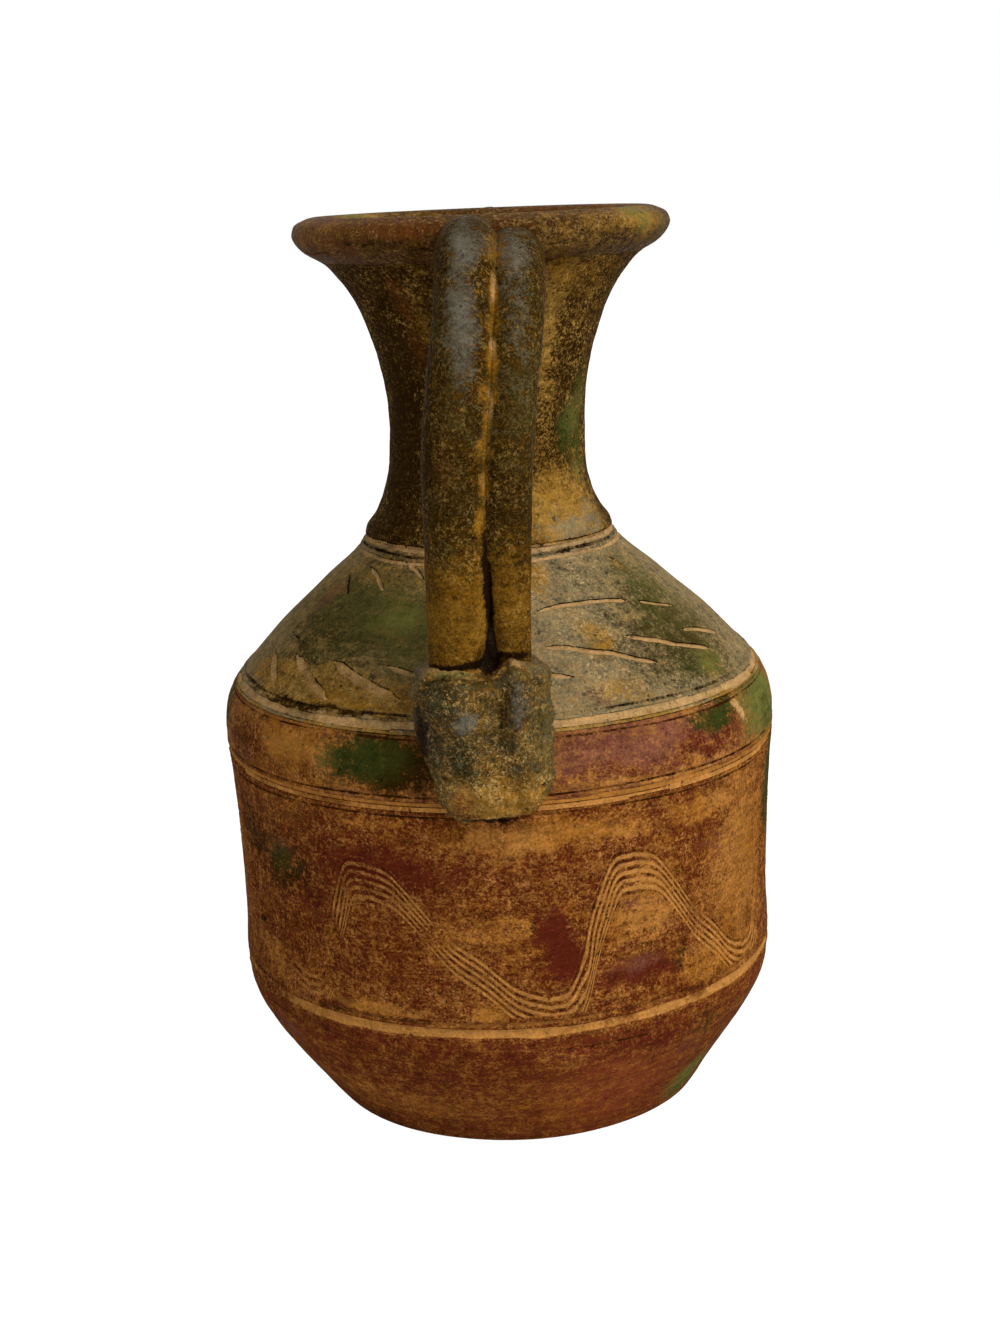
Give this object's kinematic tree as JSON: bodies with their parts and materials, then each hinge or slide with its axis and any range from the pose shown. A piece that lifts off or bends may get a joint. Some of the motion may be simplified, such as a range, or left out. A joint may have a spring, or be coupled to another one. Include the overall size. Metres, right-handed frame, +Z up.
{
  "type": "two-handled vase",
  "caption": "Hand-made earthenware vase with a flared neck, thick lip, cylindrical belly, scored rings, a combed wave and rolled-coil handles from rim to shoulder.",
  "frame": {"origin": "centre of the flat underside", "axes": "+Z up along the turned axis, -Y towards the front handle, +X to the right when looking at the front handle"},
  "size_m": [0.1982, 0.227, 0.32],
  "materials": {
    "foot_clay": "brick-red wash rubbed over ochre clay, satin",
    "belly_clay": "ochre and maroon wash, mottled, satin",
    "band_clay": "ochre, green and purple wash, mottled, satin",
    "shoulder_clay": "olive-grey wash rubbed over ochre clay, satin",
    "neck_clay": "ochre wash with dark speckle, satin",
    "rim_clay": "umber and green wash, satin",
    "handle_clay": "umber-grey wash over ochre clay, satin"
  },
  "bodies": {
    "root": {"lower_bowl": "foot_clay", "belly_wall": "belly_clay", "shoulder_band": "band_clay", "shoulder_cone": "shoulder_clay", "neck": "neck_clay", "rim_lip": "rim_clay", "front_handle_left_coil": "handle_clay", "front_handle_right_coil": "handle_clay", "front_handle_pad": "handle_clay", "rear_handle_left_coil": "handle_clay", "rear_handle_right_coil": "handle_clay", "rear_handle_pad": "handle_clay"}
  },
  "joints": []
}
